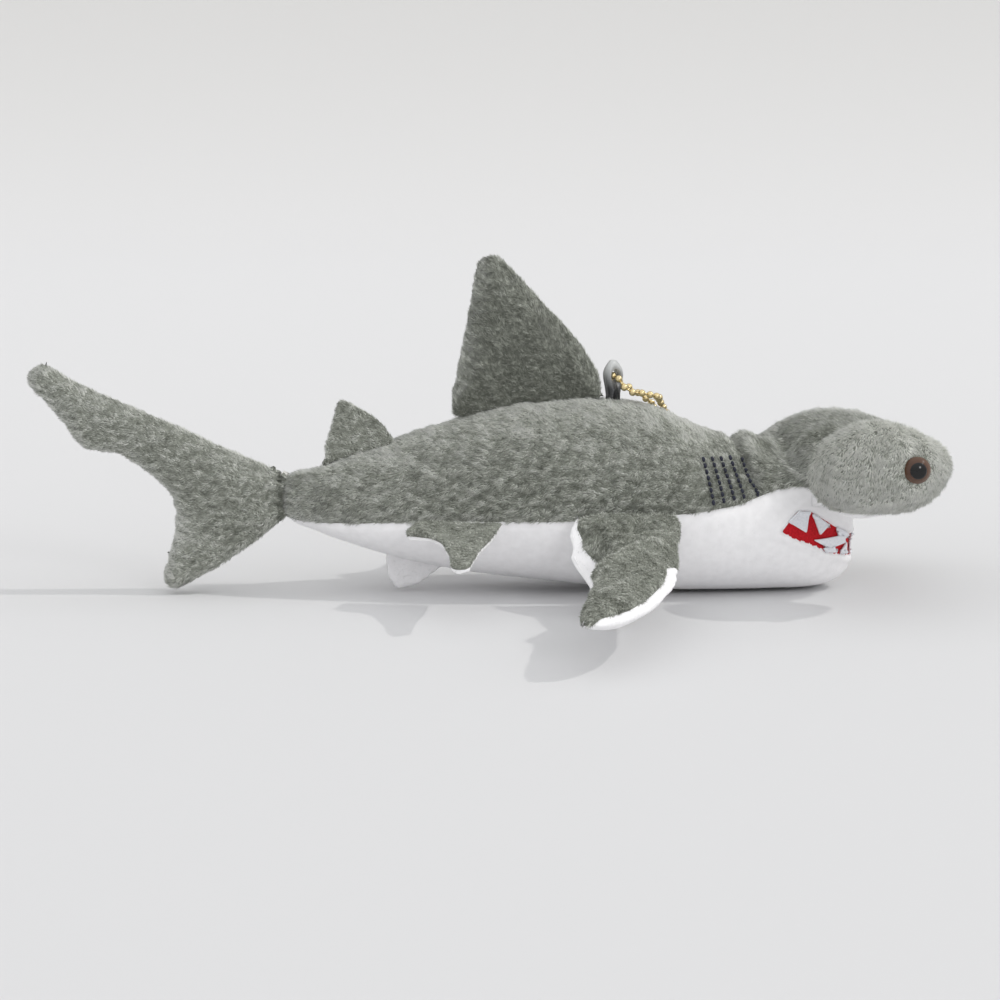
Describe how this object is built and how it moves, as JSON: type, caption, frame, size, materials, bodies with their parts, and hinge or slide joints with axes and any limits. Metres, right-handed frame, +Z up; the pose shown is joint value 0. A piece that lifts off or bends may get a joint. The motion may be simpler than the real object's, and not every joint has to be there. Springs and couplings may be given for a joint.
{
  "type": "plush shark",
  "caption": "Plush hammerhead shark with sewn fins, safety eyes, felt teeth and a ball chain on a ribbon loop.",
  "frame": {"origin": "on the surface it rests on, under the middle of its box", "axes": "+X towards the snout, +Y towards the shark's left, +Z up"},
  "size_m": [0.24, 0.1828, 0.091],
  "materials": {
    "grey_plush": "short-pile plush",
    "white_plush": "smooth short-pile plush",
    "polyester_fill": "loose fibre",
    "red_felt": "felt",
    "white_felt": "felt",
    "satin_ribbon": "satin",
    "gill_thread": "twisted thread",
    "brass_chain": "polished plating",
    "eye_brown": "gloss",
    "eye_black": "gloss",
    "washer_plastic": "moulded"
  },
  "bodies": {
    "torso": {"back_skin_left": "grey_plush", "back_skin_right": "grey_plush", "belly_skin": "white_plush", "torso_stuffing": "polyester_fill", "head_top_skin": "grey_plush", "head_underside_skin": "white_plush", "head_stuffing": "polyester_fill", "eye_dome_left": "eye_brown", "eye_pupil_left": "eye_black", "eye_washer_left": "washer_plastic", "eye_dome_right": "eye_brown", "eye_pupil_right": "eye_black", "eye_washer_right": "washer_plastic", "mouth_lining": "red_felt", "upper_teeth": "white_felt", "lower_teeth": "white_felt", "gill_stitches_left": "gill_thread", "gill_stitches_right": "gill_thread"},
    "tail": {"tail_skin_left": "grey_plush", "tail_skin_right": "grey_plush", "tail_stuffing": "polyester_fill"},
    "dorsal_fin": {"dorsal_skin_left": "grey_plush", "dorsal_skin_right": "grey_plush", "dorsal_stuffing": "polyester_fill"},
    "rear_dorsal_fin": {"rear_dorsal_skin_left": "grey_plush", "rear_dorsal_skin_right": "grey_plush"},
    "anal_fin": {"anal_fin_skin_left": "white_plush", "anal_fin_skin_right": "white_plush"},
    "pectoral_fin_left": {"pectoral_upper_skin_left": "grey_plush", "pectoral_lower_skin_left": "white_plush", "pectoral_stuffing_left": "polyester_fill"},
    "pectoral_fin_right": {"pectoral_upper_skin_right": "grey_plush", "pectoral_lower_skin_right": "white_plush", "pectoral_stuffing_right": "polyester_fill"},
    "pelvic_fin_left": {"pelvic_upper_skin_left": "grey_plush", "pelvic_lower_skin_left": "white_plush"},
    "pelvic_fin_right": {"pelvic_upper_skin_right": "grey_plush", "pelvic_lower_skin_right": "white_plush"},
    "loop": {"ribbon_loop": "satin_ribbon"},
    "chain_upper": {"chain_beads_upper": "brass_chain", "chain_links_upper": "brass_chain"},
    "chain_middle": {"chain_beads_middle": "brass_chain", "chain_links_middle": "brass_chain"},
    "chain_lower": {"chain_beads_lower": "brass_chain", "chain_links_lower": "brass_chain", "chain_connector": "brass_chain"}
  },
  "joints": [
    {"name": "tail_sway", "type": "hinge", "parent": "torso", "child": "tail", "pos_m": [-0.0503, 0, 0.026], "axis": [0, 0, 1], "range_deg": [-30, 30], "stiffness_Nm_per_rad": 0.03},
    {"name": "dorsal_fin_lean", "type": "hinge", "parent": "torso", "child": "dorsal_fin", "pos_m": [-0.006, 0, 0.0479], "axis": [0.9912, 0, 0.132], "range_deg": [-25, 25], "stiffness_Nm_per_rad": 0.03},
    {"name": "rear_dorsal_lean", "type": "hinge", "parent": "torso", "child": "rear_dorsal_fin", "pos_m": [-0.042, 0, 0.0358], "axis": [0.9533, 0, 0.3021], "range_deg": [-25, 25], "stiffness_Nm_per_rad": 0.004},
    {"name": "anal_fin_lean", "type": "hinge", "parent": "torso", "child": "anal_fin", "pos_m": [-0.026, 0, 0.0092], "axis": [0.9768, 0, -0.214], "range_deg": [-20, 20], "stiffness_Nm_per_rad": 0.004},
    {"name": "pectoral_left_flap", "type": "hinge", "parent": "torso", "child": "pectoral_fin_left", "pos_m": [0.027, 0.0252, 0.02], "axis": [1, 0, 0], "range_deg": [-3, 45], "stiffness_Nm_per_rad": 0.02},
    {"name": "pectoral_right_flap", "type": "hinge", "parent": "torso", "child": "pectoral_fin_right", "pos_m": [0.027, -0.0252, 0.02], "axis": [-1, 0, 0], "range_deg": [-3, 45], "stiffness_Nm_per_rad": 0.02},
    {"name": "pelvic_left_flap", "type": "hinge", "parent": "torso", "child": "pelvic_fin_left", "pos_m": [-0.0136, 0.019, 0.0208], "axis": [0.9877, 0.1564, 0], "range_deg": [-5, 50], "stiffness_Nm_per_rad": 0.004},
    {"name": "pelvic_right_flap", "type": "hinge", "parent": "torso", "child": "pelvic_fin_right", "pos_m": [-0.0136, -0.019, 0.0208], "axis": [-0.9877, 0.1564, 0], "range_deg": [-5, 50], "stiffness_Nm_per_rad": 0.004},
    {"name": "loop_lean", "type": "hinge", "parent": "torso", "child": "loop", "pos_m": [0.0369, 0, 0.053], "axis": [0, -1, 0], "range_deg": [0, 12], "stiffness_Nm_per_rad": 0.002},
    {"name": "chain_swing", "type": "hinge", "parent": "loop", "child": "chain_upper", "pos_m": [0.0369, 0, 0.0578], "axis": [0.5, -0.866, 0], "range_deg": [0, 75]},
    {"name": "chain_bend_upper", "type": "hinge", "parent": "chain_upper", "child": "chain_middle", "pos_m": [0.05075, 0.01141, 0.04816], "axis": [1, 0, 0], "range_deg": [0, 30]},
    {"name": "chain_bend_lower", "type": "hinge", "parent": "chain_middle", "child": "chain_lower", "pos_m": [0.05695, 0.02147, 0.03639], "axis": [1, 0, 0], "range_deg": [0, 30]}
  ]
}
